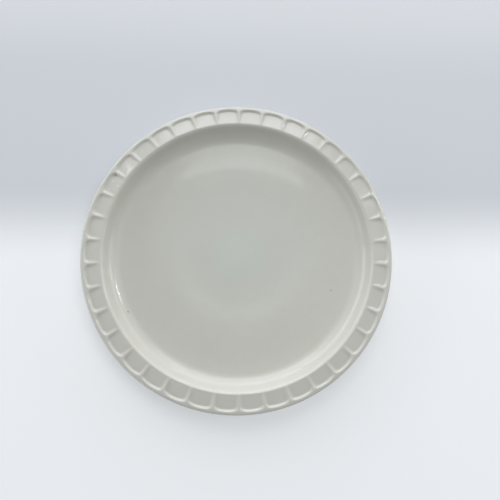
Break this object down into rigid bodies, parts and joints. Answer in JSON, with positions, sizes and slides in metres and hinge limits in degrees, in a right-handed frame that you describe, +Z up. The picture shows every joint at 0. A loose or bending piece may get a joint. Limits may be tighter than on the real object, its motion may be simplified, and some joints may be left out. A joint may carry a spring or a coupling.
{
  "type": "serving plate",
  "caption": "Round white ceramic serving plate with a deep flat well, a moulded rim of scooped panels parted by narrow ribs, and a low unglazed foot ring",
  "frame": {"origin": "centre of the plate, on the plane that its foot ring stands on", "axes": "+Z up along the plate's axis, with the well facing up; +Y points at the rim's first rib, which is at the top of the picture; +X completes the right-handed frame"},
  "size_m": [0.3048, 0.3048, 0.0253],
  "materials": {
    "clay": "fired clay, bare and matt, pale cream",
    "glaze": "glossy warm white glaze"
  },
  "bodies": {
    "root": {"ceramic_body": "clay", "glaze_face": "glaze", "glaze_base": "glaze"}
  },
  "joints": []
}
